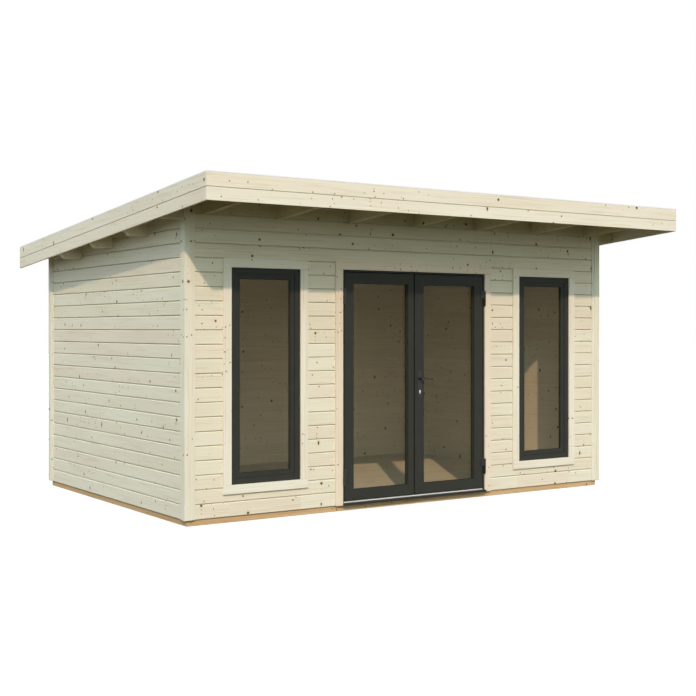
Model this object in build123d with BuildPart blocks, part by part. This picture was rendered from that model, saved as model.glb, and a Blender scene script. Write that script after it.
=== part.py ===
"""Timber garden house with a single-pitch roof: a pair of glazed doors between two narrow windows."""
from build123d import *
import math
import os

os.makedirs("parts", exist_ok=True)

# Frame: millimetres, Z up, front towards -Y, origin on the ground under the middle of the roof.

# House over its corner posts
width = 4480.0
depth = 3000.0
wall_thickness = 44.0
overrun = 20.0
fit = 0.3

# Base beams and floor
base_height = 49.0
base_beam_width = 90.0
base_inset = 30.0
floor_thickness = 20.0
floor_gap = 3.0

# Corner posts, stepped down where they lap the wall boards
post_width = 95.0
post_face = 65.0
post_step = 7.0
post_proud = 15.0

# Roof
roof_top = 2651.5
roof_slope = 4.5
overhang_front = 775.0
overhang_back = 225.0
overhang_side = 210.0
fascia_thickness = 20.0
fascia_upper = 111.0
fascia_lower = 96.0
fascia_groove = 4.0
roof_lip = 6.0
covering_thickness = 4.0
deck_thickness = 18.0
rafter_width = 53.0
rafter_count = 7
rafter_gap = 60.0
rafter_rise = 39.0
outrigger_width = 60.0
outrigger_drop = 36.0
outrigger_cut = 44.0
outrigger_start_share = 0.2273
outrigger_pitch_share = 0.2437
outrigger_count = 3
bearer_height = 110.0

# Trim boards around the openings
casing_width = 72.0
casing_thickness = 18.0
casing_lap = 10.0
opening_top_share = 0.7641

# Windows
window_place_share = 0.5115
window_width = 640.0
window_height_share = 0.869
window_head_drop = 10.5
window_frame_show = 47.0
window_frame_depth = 60.0
sash_width = 39.5
sash_step = 6.0
sash_depth = 30.0
pane_recess = 16.0

# Double doors
door_width = 1552.0
door_frame_show = 15.0
door_gap = 6.0
meeting_gap = 13.0
meeting_shift = 19.5
stop_lap = 22.0
stop_thickness = 24.0
sill_height = 18.0
sill_reach = 20.0
threshold_height = 9.0
threshold_setback = 4.0
leaf_setback = 14.0
leaf_thickness = 50.0
leaf_stile = 95.0
leaf_top_rail = 90.5
leaf_bottom_rail = 89.5
pane_edge = 86.0
glass_recess = 34.0
glass_thickness = 8.0

# Lift-off hinges
hinge_radius = 7.0
hinge_length = 136.0
hinge_reach = 9.0
hinge_inset = 8.0
pin_radius = 4.0
pin_length = 58.0
hinge_neck = 8.0
hinge_plate_width = 20.0
hinge_plate_thickness = 5.0
hinge_plate_edge = 5.0
hinge_edge = 200.0

# Lock and lever
lever_height = 1089.5
lock_drop = 105.0
plate_width = 40.0
plate_height = 230.0
plate_drop = 43.0
plate_thickness = 3.0
spindle_radius = 6.0
neck_radius = 9.0
neck_length = 42.0
lever_length = 132.0
lever_bar_height = 18.0
lever_bar_depth = 12.0
cylinder_radius = 8.5
cylinder_width = 10.0
cylinder_height = 16.0
cylinder_proud = 5.0

# Planes that the pieces share
half_width = width / 2
half_depth = depth / 2
house_shift = (overhang_front - overhang_back) / 2
front_line = house_shift - half_depth
back_line = house_shift + half_depth
front_face = front_line + post_proud
front_inner = front_face + wall_thickness
back_face = back_line - post_proud
back_inner = back_face - wall_thickness
side_face = half_width - post_proud
side_inner = side_face - wall_thickness
post_inner_x = half_width - post_width
post_inner_front = front_line + post_width
post_inner_back = back_line - post_width
roof_front = front_line - overhang_front
roof_back = back_line + overhang_back
roof_side = half_width + overhang_side
roof_width = roof_side * 2
deck_front = roof_front + fascia_thickness
deck_back = roof_back - fascia_thickness
deck_side = roof_side - fascia_thickness
deck_width = deck_side * 2
fascia_height = fascia_upper + fascia_groove + fascia_lower
deck_drop = roof_lip + covering_thickness
roof_build = deck_drop + deck_thickness
fall_share = math.tan(math.radians(roof_slope))
rafter_drop = fascia_height - rafter_rise


def roof_line(y, drop):
    """Height at depth y of the sloping line that lies drop below the roof's upper edge."""
    return roof_top - drop - (y - roof_front) * fall_share


def sloped_outline(y_low, y_high, drop_high, drop_low):
    """Corners of a strip between two sloping lines, from one depth to another."""
    return [
        (y_low, roof_line(y_low, drop_low)),
        (y_high, roof_line(y_high, drop_low)),
        (y_high, roof_line(y_high, drop_high)),
        (y_low, roof_line(y_low, drop_high)),
    ]


# Base beams: treated timber laid flat under the four walls
base_x = half_width - base_inset
base_y = half_depth - base_inset
for end, sign in (("front", -1), ("back", 1)):
    with BuildPart() as base_beam:
        with BuildSketch(Plane.XY):
            with Locations((0, house_shift + sign * (base_y - base_beam_width / 2))):
                Rectangle(base_x * 2, base_beam_width)
        extrude(amount=base_height)
    base_beam.part.label = f"base_beam_{end}"
    export_step(base_beam.part, f"parts/base_beam_{end}.step")

for side, sign in (("left", -1), ("right", 1)):
    with BuildPart() as base_beam:
        with BuildSketch(Plane.XY):
            with Locations((sign * (base_x - base_beam_width / 2), house_shift)):
                Rectangle(base_beam_width, (base_y - base_beam_width) * 2)
        extrude(amount=base_height)
    base_beam.part.label = f"base_beam_{side}"
    export_step(base_beam.part, f"parts/base_beam_{side}.step")

# Door sizes that the floor and the walls also follow
door_half = door_width / 2
door_open_half = door_half + casing_lap
opening_top = roof_top * opening_top_share
wall_open_top = opening_top + casing_lap
leaf_front = front_face - casing_thickness + leaf_setback
leaf_back = leaf_front + leaf_thickness
stop_front = leaf_back + door_gap
door_frame_back = stop_front + stop_thickness

# Floor: boards inside the walls, cut out around the posts and the door frame
floor_x = side_inner - floor_gap
floor_y = (back_inner - front_inner) / 2 - floor_gap
post_cut_x = floor_x - post_inner_x + floor_gap
post_cut_y = floor_y - half_depth + post_width + floor_gap
frame_cut = door_frame_back - front_inner
with BuildPart() as floor_deck:
    with BuildSketch(Plane((0, house_shift, base_height))):
        Rectangle(floor_x * 2, floor_y * 2)
        with GridLocations(floor_x * 2, floor_y * 2, 2, 2):
            Rectangle(post_cut_x * 2, post_cut_y * 2, mode=Mode.SUBTRACT)
        with Locations((0, -floor_y)):
            Rectangle((door_open_half + floor_gap) * 2, frame_cut * 2, mode=Mode.SUBTRACT)
    extrude(amount=floor_thickness)
floor_deck.part.label = "floor_deck"
export_step(floor_deck.part, "parts/floor_deck.step")

# Corner posts: square posts with a stepped outer face, cut to the roof's slope
post_outline = [
    (0, 0),
    (post_face, 0),
    (post_face, post_step),
    (post_width, post_step),
    (post_width, post_width),
    (post_step, post_width),
    (post_step, post_face),
    (0, post_face),
]
post_top_cut = [
    (front_line - overrun, roof_line(front_line - overrun, roof_build)),
    (back_line + overrun, roof_line(back_line + overrun, roof_build)),
    (back_line + overrun, roof_top + overrun),
    (front_line - overrun, roof_top + overrun),
]
for end, y_sign in (("front", -1), ("back", 1)):
    for side, x_sign in (("left", -1), ("right", 1)):
        corners = []
        for x, y in post_outline:
            corners.append((x_sign * (half_width - x), house_shift + y_sign * (half_depth - y)))
        with BuildPart() as corner_post:
            with BuildSketch(Plane.XY.offset(base_height)):
                Polygon(*corners, align=None)
            extrude(amount=roof_top - base_height)
            with BuildSketch(Plane.YZ.offset(-width)):
                Polygon(*post_top_cut, align=None)
            extrude(amount=width * 2, mode=Mode.SUBTRACT)
        corner_post.part.label = f"corner_post_{end}_{side}"
        export_step(corner_post.part, f"parts/corner_post_{end}_{side}.step")

# Rafter places across the house, the outer two a gap inside the corner posts
rafter_end = post_inner_x - rafter_gap - rafter_width / 2
rafter_pitch = rafter_end * 2 / (rafter_count - 1)
rafter_places = []
for index in range(rafter_count):
    rafter_places.append(-rafter_end + index * rafter_pitch)
notch_width = (rafter_width / 2 + fit) * 2

# Front wall: boards over the openings, notched around the rafters
front_head_outline = [
    (front_face, wall_open_top),
    (front_inner, wall_open_top),
    (front_inner, roof_line(front_inner, roof_build)),
    (front_face, roof_line(front_face, roof_build)),
]
front_notch = sloped_outline(front_face - overrun, front_inner + overrun, 0, rafter_drop + fit)
with BuildPart() as front_wall_head:
    with BuildSketch(Plane.YZ.offset(-post_inner_x)):
        Polygon(*front_head_outline, align=None)
    extrude(amount=post_inner_x * 2)
    for place in rafter_places:
        with BuildSketch(Plane.YZ.offset(place - notch_width / 2)):
            Polygon(*front_notch, align=None)
        extrude(amount=notch_width, mode=Mode.SUBTRACT)
front_wall_head.part.label = "front_wall_head"
export_step(front_wall_head.part, "parts/front_wall_head.step")

# Front wall: boards beside the openings, and below each window
door_casing_x = door_half + casing_width
window_place = door_casing_x + (post_inner_x - door_casing_x) * window_place_share
window_open_half = window_width / 2 + casing_lap
window_top = opening_top - window_head_drop
window_height = (opening_top - base_height) * window_height_share
window_bottom = window_top - window_height
window_open_bottom = window_bottom - casing_lap
end_low = window_place + window_open_half
middle_high = window_place - window_open_half
front_middle_y = front_face + wall_thickness / 2
for side, sign in (("left", -1), ("right", 1)):
    with BuildPart() as front_wall_end:
        with BuildSketch(Plane.XY.offset(base_height)):
            with Locations((sign * (post_inner_x + end_low) / 2, front_middle_y)):
                Rectangle(post_inner_x - end_low, wall_thickness)
        extrude(amount=wall_open_top - base_height)
    front_wall_end.part.label = f"front_wall_{side}_end"
    export_step(front_wall_end.part, f"parts/front_wall_{side}_end.step")

    with BuildPart() as front_wall_middle:
        with BuildSketch(Plane.XY.offset(base_height)):
            with Locations((sign * (middle_high + door_open_half) / 2, front_middle_y)):
                Rectangle(middle_high - door_open_half, wall_thickness)
        extrude(amount=wall_open_top - base_height)
    front_wall_middle.part.label = f"front_wall_{side}_middle"
    export_step(front_wall_middle.part, f"parts/front_wall_{side}_middle.step")

    with BuildPart() as front_wall_below:
        with BuildSketch(Plane.XY.offset(base_height)):
            with Locations((sign * window_place, front_middle_y)):
                Rectangle(window_open_half * 2, wall_thickness)
        extrude(amount=window_open_bottom - base_height)
    front_wall_below.part.label = f"front_wall_below_{side}_window"
    export_step(front_wall_below.part, f"parts/front_wall_below_{side}_window.step")

# Side walls: boards between the corner posts, up to the roof boards
side_outline = [
    (post_inner_front, base_height),
    (post_inner_back, base_height),
    (post_inner_back, roof_line(post_inner_back, roof_build)),
    (post_inner_front, roof_line(post_inner_front, roof_build)),
]
for side, start in (("left", -side_face), ("right", side_inner)):
    with BuildPart() as side_wall:
        with BuildSketch(Plane.YZ.offset(start)):
            Polygon(*side_outline, align=None)
        extrude(amount=wall_thickness)
    side_wall.part.label = f"{side}_wall"
    export_step(side_wall.part, f"parts/{side}_wall.step")

# Back wall: boards between the corner posts, notched around the rafters
back_outline = [
    (back_inner, base_height),
    (back_face, base_height),
    (back_face, roof_line(back_face, roof_build)),
    (back_inner, roof_line(back_inner, roof_build)),
]
back_notch = sloped_outline(back_inner - overrun, back_face + overrun, 0, rafter_drop + fit)
with BuildPart() as back_wall:
    with BuildSketch(Plane.YZ.offset(-post_inner_x)):
        Polygon(*back_outline, align=None)
    extrude(amount=post_inner_x * 2)
    for place in rafter_places:
        with BuildSketch(Plane.YZ.offset(place - notch_width / 2)):
            Polygon(*back_notch, align=None)
        extrude(amount=notch_width, mode=Mode.SUBTRACT)
back_wall.part.label = "back_wall"
export_step(back_wall.part, "parts/back_wall.step")

# Rafters: run front to back between the fascias, with a slanted lower end at the back
tail_cut = rafter_drop - fascia_upper
tail_start = deck_back - tail_cut
rafter_outline = [
    (deck_front, roof_line(deck_front, rafter_drop)),
    (tail_start, roof_line(tail_start, rafter_drop)),
    (deck_back, roof_line(deck_back, fascia_upper)),
    (deck_back, roof_line(deck_back, roof_build)),
    (deck_front, roof_line(deck_front, roof_build)),
]
for index, place in enumerate(rafter_places):
    with BuildPart() as rafter:
        with BuildSketch(Plane.YZ.offset(place - rafter_width / 2)):
            Polygon(*rafter_outline, align=None)
        extrude(amount=rafter_width)
    rafter.part.label = f"rafter_{index + 1}"
    export_step(rafter.part, f"parts/rafter_{index + 1}.step")

# Outriggers: short beams that carry the roof past each side wall, with a slanted lower end,
# and a low bearer beside the front corner post
outrigger_length = deck_side - side_face
bearer_length = deck_side - half_width
bearer_back = front_face + outrigger_width
bearer_strip = sloped_outline(front_face, bearer_back, fascia_height - bearer_height, fascia_height)
outrigger_start = depth * outrigger_start_share
outrigger_pitch = depth * outrigger_pitch_share
for side, sign in (("left", -1), ("right", 1)):
    with BuildPart() as outriggers:
        for index in range(outrigger_count):
            near = front_face + outrigger_start + index * outrigger_pitch
            far = near + outrigger_width
            strip = sloped_outline(near, far, roof_build, fascia_height + outrigger_drop)
            with BuildSketch(Plane.YZ.offset(sign * side_face)):
                Polygon(*strip, align=None)
            extrude(amount=sign * outrigger_length)
        lower_ends = []
        for beam in outriggers.solids():
            end_face = beam.faces().sort_by(Axis.X)[max(sign, 0) * -1]
            lower_ends.append(end_face.edges().sort_by(Axis.Z)[0])
        chamfer(lower_ends, length=outrigger_cut)
        with BuildSketch(Plane.YZ.offset(sign * half_width)):
            Polygon(*bearer_strip, align=None)
        extrude(amount=sign * bearer_length)
    outriggers.part.label = f"outriggers_{side}"
    export_step(outriggers.part, f"parts/outriggers_{side}.step")

# Roof boards and the sheet that covers them
for label, drop_high, drop_low in (
    ("roof_deck", deck_drop, roof_build),
    ("roof_covering", roof_lip, deck_drop),
):
    layer_outline = sloped_outline(deck_front, deck_back, drop_high, drop_low)
    with BuildPart() as roof_layer:
        with BuildSketch(Plane.YZ.offset(-deck_side)):
            Polygon(*layer_outline, align=None)
        extrude(amount=deck_width)
    roof_layer.part.label = label
    export_step(roof_layer.part, f"parts/{label}.step")

# Fascias: two boards one above the other, but only the upper one at the back
back_top = roof_line(roof_back, 0)
front_boards = ((roof_top - fascia_upper, fascia_upper), (roof_top - fascia_height, fascia_lower))
back_boards = ((back_top - fascia_upper, fascia_upper),)
for end, start, boards in (("front", roof_front, front_boards), ("back", deck_back, back_boards)):
    with BuildPart() as fascia:
        for board_bottom, board_height in boards:
            with BuildSketch(Plane.XY.offset(board_bottom)):
                with Locations((0, start + fascia_thickness / 2)):
                    Rectangle(roof_width, fascia_thickness)
            extrude(amount=board_height)
    fascia.part.label = f"fascia_{end}"
    export_step(fascia.part, f"parts/fascia_{end}.step")

upper_outline = sloped_outline(deck_front, deck_back, 0, fascia_upper)
lower_outline = sloped_outline(deck_front, roof_back, fascia_upper + fascia_groove, fascia_height)
for side, start in (("left", -roof_side), ("right", deck_side)):
    with BuildPart() as fascia:
        for board_outline in (upper_outline, lower_outline):
            with BuildSketch(Plane.YZ.offset(start)):
                Polygon(*board_outline, align=None)
            extrude(amount=fascia_thickness)
    fascia.part.label = f"fascia_{side}"
    export_step(fascia.part, f"parts/fascia_{side}.step")

# Door casing: two upright boards and one across the top, nailed on the wall boards
casing_plane = Plane.XZ.offset(-front_face)
casing_length = opening_top - base_height
with BuildPart() as door_casing:
    with BuildSketch(casing_plane):
        for sign in (-1, 1):
            with Locations((sign * (door_half + casing_width / 2), base_height + casing_length / 2)):
                Rectangle(casing_width, casing_length)
        with Locations((0, opening_top + fit + casing_width / 2)):
            Rectangle(door_casing_x * 2, casing_width)
    extrude(amount=casing_thickness)
door_casing.part.label = "door_casing"
export_step(door_casing.part, "parts/door_casing.step")

# Door frame: jambs, head and sill behind the casing, with the strips that the leaves close on
jamb_face = door_half - door_frame_show
head_face = opening_top - door_frame_show
jamb_outer = door_open_half - fit
head_outer = wall_open_top - fit
nose_x = door_half - fit
nose_z = opening_top - fit
threshold_top = base_height + sill_height + threshold_height
stop_bottom = threshold_top + fit
stop_top = head_face - fit
jamb_outline = [
    (jamb_face, front_face),
    (jamb_outer, front_face),
    (jamb_outer, door_frame_back),
    (jamb_face, door_frame_back),
]
nose_outline = [
    (jamb_face, leaf_front),
    (nose_x, leaf_front),
    (nose_x, front_face),
    (jamb_face, front_face),
]
head_outline = [
    (leaf_front, head_face),
    (leaf_front, nose_z),
    (front_face, nose_z),
    (front_face, head_outer),
    (door_frame_back, head_outer),
    (door_frame_back, head_face),
]
bar_half = jamb_face - fit
stop_half = jamb_face - stop_lap
stop_y = stop_front + stop_thickness / 2
sill_front = front_face - casing_thickness - sill_reach
sill_depth = door_frame_back - sill_front
nose_depth = leaf_front - fit - sill_front
with BuildPart() as door_frame:
    for sign in (-1, 1):
        for outline, bar_top in ((jamb_outline, head_outer), (nose_outline, nose_z)):
            corners = []
            for x, y in outline:
                corners.append((sign * x, y))
            with BuildSketch(Plane.XY.offset(base_height)):
                Polygon(*corners, align=None)
            extrude(amount=bar_top - base_height)
        with BuildSketch(Plane.XY.offset(stop_bottom)):
            with Locations((sign * (stop_half + bar_half) / 2, stop_y)):
                Rectangle(bar_half - stop_half, stop_thickness)
        extrude(amount=stop_top - stop_bottom)
    with BuildSketch(Plane.YZ.offset(-bar_half)):
        Polygon(*head_outline, align=None)
    extrude(amount=bar_half * 2)
    with BuildSketch(Plane.XY.offset(stop_top - stop_lap)):
        with Locations((0, stop_y)):
            Rectangle((stop_half - fit) * 2, stop_thickness)
    extrude(amount=stop_lap)
    with BuildSketch(Plane.XY.offset(base_height)):
        with Locations((0, sill_front + sill_depth / 2)):
            Rectangle(bar_half * 2, sill_depth)
        with Locations((0, sill_front + nose_depth / 2)):
            Rectangle(nose_x * 2, nose_depth)
    extrude(amount=sill_height)
door_frame.part.label = "door_frame"
export_step(door_frame.part, "parts/door_frame.step")

# Threshold: a bright metal rail on the sill
threshold_front = leaf_front + threshold_setback
threshold_depth = door_frame_back - threshold_front
with BuildPart() as door_threshold:
    with BuildSketch(Plane.XY.offset(base_height + sill_height)):
        with Locations((0, threshold_front + threshold_depth / 2)):
            Rectangle(bar_half * 2, threshold_depth)
    extrude(amount=threshold_height)
door_threshold.part.label = "door_threshold"
export_step(door_threshold.part, "parts/door_threshold.step")

# Windows: casing boards, fixed frame with a sash inside it, and one pane
frame_out_x = window_open_half - fit
frame_out_top = wall_open_top - fit
frame_out_bottom = window_open_bottom + fit
frame_in_x = window_width / 2 - window_frame_show
frame_in_top = window_top - window_frame_show
frame_in_bottom = window_bottom + window_frame_show
sash_out_x = frame_in_x - fit
sash_out_top = frame_in_top - fit
sash_out_bottom = frame_in_bottom + fit
pane_x = frame_in_x - sash_width
pane_top = frame_in_top - sash_width
pane_bottom = frame_in_bottom + sash_width
casing_out_x = window_width / 2 + casing_width
for side, sign in (("left", -1), ("right", 1)):
    middle = sign * window_place
    with BuildPart() as window_casing:
        with BuildSketch(casing_plane):
            for edge in (-1, 1):
                casing_x = middle + edge * (window_width / 2 + casing_width / 2)
                with Locations((casing_x, (window_bottom + window_top) / 2)):
                    Rectangle(casing_width, window_height)
            with Locations((middle, window_top + fit + casing_width / 2)):
                Rectangle(casing_out_x * 2, casing_width)
            with Locations((middle, window_bottom - fit - casing_width / 2)):
                Rectangle(casing_out_x * 2, casing_width)
        extrude(amount=casing_thickness)
    window_casing.part.label = f"{side}_window_casing"
    export_step(window_casing.part, f"parts/{side}_window_casing.step")

    with BuildPart() as window_frame:
        for plane_y, out_x, out_top, out_bottom, in_x, in_top, in_bottom, bar_depth in (
            (front_face, frame_out_x, frame_out_top, frame_out_bottom,
             frame_in_x, frame_in_top, frame_in_bottom, window_frame_depth),
            (front_face + sash_step, sash_out_x, sash_out_top, sash_out_bottom,
             pane_x, pane_top, pane_bottom, sash_depth),
        ):
            with BuildSketch(Plane.XZ.offset(-plane_y)):
                for edge in (-1, 1):
                    with Locations((middle + edge * (out_x + in_x) / 2, (out_top + out_bottom) / 2)):
                        Rectangle(out_x - in_x, out_top - out_bottom)
                with Locations((middle, (out_top + in_top) / 2)):
                    Rectangle((in_x - fit) * 2, out_top - in_top)
                with Locations((middle, (out_bottom + in_bottom) / 2)):
                    Rectangle((in_x - fit) * 2, in_bottom - out_bottom)
            extrude(amount=-bar_depth)
    window_frame.part.label = f"{side}_window_frame"
    export_step(window_frame.part, f"parts/{side}_window_frame.step")

    with BuildPart() as window_glass:
        with BuildSketch(Plane.XZ.offset(-front_face - sash_step - pane_recess)):
            with Locations((middle, (pane_top + pane_bottom) / 2)):
                Rectangle((pane_x - fit) * 2, pane_top - pane_bottom - fit * 2)
        extrude(amount=-glass_thickness)
    window_glass.part.label = f"{side}_window_glass"
    export_step(window_glass.part, f"parts/{side}_window_glass.step")

# Door leaves: stiles and rails around one tall pane, meeting a little left of the middle
leaf_out = jamb_face - door_gap
left_meeting_x = -meeting_shift - meeting_gap / 2
right_meeting_x = -meeting_shift + meeting_gap / 2
leaf_top = head_face - door_gap
leaf_bottom = threshold_top + door_gap
leaf_height = leaf_top - leaf_bottom
leaf_middle_z = (leaf_top + leaf_bottom) / 2
light_out = leaf_out - leaf_stile
light_half = (light_out - pane_edge) / 2
light_x = (light_out + pane_edge) / 2
light_top = leaf_top - leaf_top_rail
light_bottom = leaf_bottom + leaf_bottom_rail
lever_x = (right_meeting_x + pane_edge) / 2
spindle_hole = spindle_radius + fit
for side, sign, meeting_x in (("left", -1, left_meeting_x), ("right", 1, right_meeting_x)):
    with BuildPart() as leaf_frame:
        with BuildSketch(Plane.XZ.offset(-leaf_front)):
            with Locations((sign * (leaf_out + light_out) / 2, leaf_middle_z)):
                Rectangle(leaf_stile, leaf_height)
            with Locations(((meeting_x + sign * pane_edge) / 2, leaf_middle_z)):
                Rectangle(pane_edge - sign * meeting_x, leaf_height)
            with Locations((sign * light_x, (leaf_top + light_top) / 2)):
                Rectangle((light_half - fit) * 2, leaf_top - light_top)
            with Locations((sign * light_x, (leaf_bottom + light_bottom) / 2)):
                Rectangle((light_half - fit) * 2, light_bottom - leaf_bottom)
            if side == "right":
                with Locations((lever_x, lever_height)):
                    Circle(spindle_hole, mode=Mode.SUBTRACT)
        extrude(amount=-leaf_thickness)
    leaf_frame.part.label = f"{side}_leaf_frame"
    export_step(leaf_frame.part, f"parts/{side}_leaf_frame.step")

    with BuildPart() as leaf_glass:
        with BuildSketch(Plane.XZ.offset(-leaf_front - glass_recess)):
            with Locations((sign * light_x, (light_top + light_bottom) / 2)):
                Rectangle((light_half - fit) * 2, light_top - light_bottom - fit * 2)
        extrude(amount=-glass_thickness)
    leaf_glass.part.label = f"{side}_leaf_glass"
    export_step(leaf_glass.part, f"parts/{side}_leaf_glass.step")

# Hinges: the lower half stands on the jamb and carries a pin, the upper half turns on it
hinge_x = door_half - hinge_inset
hinge_y = front_face - casing_thickness - hinge_reach
knuckle = hinge_length / 2
plate_start = leaf_out - hinge_plate_edge
plate_end = leaf_out - hinge_plate_width
plate_face = leaf_front - hinge_plate_thickness
hinge_places = (leaf_bottom + hinge_edge, leaf_top - hinge_edge)
with BuildPart() as frame_hinges:
    for sign in (-1, 1):
        for place in hinge_places:
            with BuildSketch(Plane.XY.offset(place - knuckle)):
                with Locations((sign * hinge_x, hinge_y)):
                    Circle(hinge_radius)
                with Locations((sign * hinge_x, (hinge_y + leaf_front) / 2)):
                    Rectangle(hinge_neck, leaf_front - hinge_y)
            extrude(amount=knuckle - fit)
            with BuildSketch(Plane.XY.offset(place - fit)):
                with Locations((sign * hinge_x, hinge_y)):
                    Circle(pin_radius)
            extrude(amount=pin_length)
frame_hinges.part.label = "frame_hinges"
export_step(frame_hinges.part, "parts/frame_hinges.step")

arm_outline = [
    (plate_end, leaf_front),
    (plate_start, leaf_front),
    (hinge_x, hinge_y + hinge_radius),
    (hinge_x, hinge_y - hinge_radius),
    (plate_start, plate_face),
    (plate_end, plate_face),
]
for side, sign in (("left", -1), ("right", 1)):
    corners = []
    for x, y in arm_outline:
        corners.append((sign * x, y))
    with BuildPart() as leaf_hinges:
        for place in hinge_places:
            with BuildSketch(Plane.XY.offset(place)):
                Polygon(*corners, align=None)
                with Locations((sign * hinge_x, hinge_y)):
                    Circle(hinge_radius)
                    Circle(pin_radius + fit, mode=Mode.SUBTRACT)
            extrude(amount=knuckle)
    leaf_hinges.part.label = f"{side}_leaf_hinges"
    export_step(leaf_hinges.part, f"parts/{side}_leaf_hinges.step")

# Lock plates: one long plate on each face of the right leaf's meeting stile
plate_z = lever_height - plate_drop
with BuildPart() as lock_plates:
    for plate_y in (leaf_front - plate_thickness, leaf_back):
        with BuildSketch(Plane.XZ.offset(-plate_y)):
            with Locations((lever_x, plate_z)):
                Rectangle(plate_width, plate_height)
            with Locations((lever_x, lever_height)):
                Circle(spindle_hole, mode=Mode.SUBTRACT)
        extrude(amount=-plate_thickness)
lock_plates.part.label = "lock_plates"
export_step(lock_plates.part, "parts/lock_plates.step")

# Lock cylinder: its two ends show on the plates
cylinder_z = lever_height - lock_drop
outer_plate = leaf_front - plate_thickness
inner_plate = leaf_back + plate_thickness
with BuildPart() as lock_cylinder:
    for end_y in (outer_plate - cylinder_proud, inner_plate):
        with BuildSketch(Plane.XZ.offset(-end_y)):
            with Locations((lever_x, cylinder_z)):
                Circle(cylinder_radius)
            with Locations((lever_x, cylinder_z - cylinder_height / 2 - cylinder_radius / 2)):
                Rectangle(cylinder_width, cylinder_height)
        extrude(amount=-cylinder_proud)
lock_cylinder.part.label = "lock_cylinder"
export_step(lock_cylinder.part, "parts/lock_cylinder.step")

# Lever handle: a bar on each face, joined by the spindle through the stile
lever_outer = outer_plate - fit - neck_length
lever_inner = inner_plate + fit + neck_length
with BuildPart() as door_lever:
    with BuildSketch(Plane.XZ.offset(-lever_outer)):
        with Locations((lever_x, lever_height)):
            Circle(spindle_radius)
    extrude(amount=lever_outer - lever_inner)
    for neck_y in (lever_outer, lever_inner - neck_length):
        with BuildSketch(Plane.XZ.offset(-neck_y)):
            with Locations((lever_x, lever_height)):
                Circle(neck_radius)
        extrude(amount=-neck_length)
    for bar_y in (lever_outer, lever_inner - lever_bar_depth):
        with BuildSketch(Plane.XZ.offset(-bar_y)):
            with Locations((lever_x - neck_radius + lever_length / 2, lever_height)):
                RectangleRounded(lever_length, lever_bar_height, lever_bar_height / 3)
        extrude(amount=-lever_bar_depth)
door_lever.part.label = "door_lever"
export_step(door_lever.part, "parts/door_lever.step")
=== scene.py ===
"""Looks of the timber garden house: boards, paint, glass and metal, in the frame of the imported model."""
import math
import random
import bmesh
import bpy
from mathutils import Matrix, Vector


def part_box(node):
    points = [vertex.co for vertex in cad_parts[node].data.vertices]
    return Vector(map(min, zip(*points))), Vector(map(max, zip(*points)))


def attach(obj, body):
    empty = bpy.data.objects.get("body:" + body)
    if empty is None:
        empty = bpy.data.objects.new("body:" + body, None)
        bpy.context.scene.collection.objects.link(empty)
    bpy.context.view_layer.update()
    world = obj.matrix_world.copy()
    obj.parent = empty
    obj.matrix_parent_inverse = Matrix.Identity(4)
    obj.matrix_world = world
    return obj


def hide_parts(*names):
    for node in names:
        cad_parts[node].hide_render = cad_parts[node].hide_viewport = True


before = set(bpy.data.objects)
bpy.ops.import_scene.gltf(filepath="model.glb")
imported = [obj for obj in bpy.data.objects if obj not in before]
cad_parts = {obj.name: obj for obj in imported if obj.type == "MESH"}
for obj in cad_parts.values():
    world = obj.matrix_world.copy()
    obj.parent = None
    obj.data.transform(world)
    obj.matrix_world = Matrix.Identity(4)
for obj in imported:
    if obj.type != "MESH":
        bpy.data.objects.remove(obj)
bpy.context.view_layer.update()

# Base beams: four lengths of treated softwood laid flat on the ground, one under each wall.
# They are sawn, stained brown all through, and butt against each other at the corners.
beam_edge = 0.003
beam_pale = (0.70, 0.52, 0.295)
beam_brown = (0.63, 0.42, 0.215)
beam_rosy = (0.67, 0.43, 0.25)
beam_ring = (0.43, 0.25, 0.115)
beam_knots = 0.35
beam_roughness = 0.72
beam_relief = 0.5
weld = 0.00002
flat_angle = math.radians(0.5)
round_angle = math.radians(25)
grain_chance = random.Random(11)
log_length = 40
heart_side_reach = 0.08
heart_depths = (0.012, 0.06)
edge_face_share = 0.8
knot_red = (0.150, 0.075, 0.042)
knot_dark = (0.030, 0.020, 0.015)
knot_rim = (0.430, 0.280, 0.160)
knot_halo_share = 0.3
knot_core_share = 0.92
knot_wobble = 0.7
spike_knot_chance = 0.88
spike_knot_squeeze = -0.5
ring_bend = 0.02
ring_stretch = (0.05, 1.0, 1.0)
faint_ring_share = 0.16
strong_ring_share = 0.72
shade_warmth = 0.6
blotch_warmth = 0.7
warmth_start = 0.18
fibre_height = 0.6
ring_height = 0.4
grain_depth = 0.0008


def solid_of(node):
    """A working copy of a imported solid, with its flat faces joined again."""
    shape = bmesh.new()
    shape.from_mesh(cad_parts[node].data)
    bmesh.ops.remove_doubles(shape, verts=shape.verts, dist=weld)
    bmesh.ops.dissolve_limit(shape, angle_limit=flat_angle, verts=shape.verts, edges=shape.edges)
    return shape


def timbers_of(shape):
    """The separate timbers of a shape, each as a list of its corners."""
    shape.verts.index_update()
    seen = set()
    timbers = []
    for first in shape.verts:
        if first.index in seen:
            continue
        seen.add(first.index)
        timber = [first]
        for corner in timber:
            for edge in corner.link_edges:
                other = edge.other_vert(corner)
                if other.index not in seen:
                    seen.add(other.index)
                    timber.append(other)
        timbers.append(timber)
    return timbers


def box_of(corners):
    """The lowest and highest place of a list of corners."""
    low = Vector([min(corner.co[axis] for corner in corners) for axis in range(3)])
    high = Vector([max(corner.co[axis] for corner in corners) for axis in range(3)])
    return low, high


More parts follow.
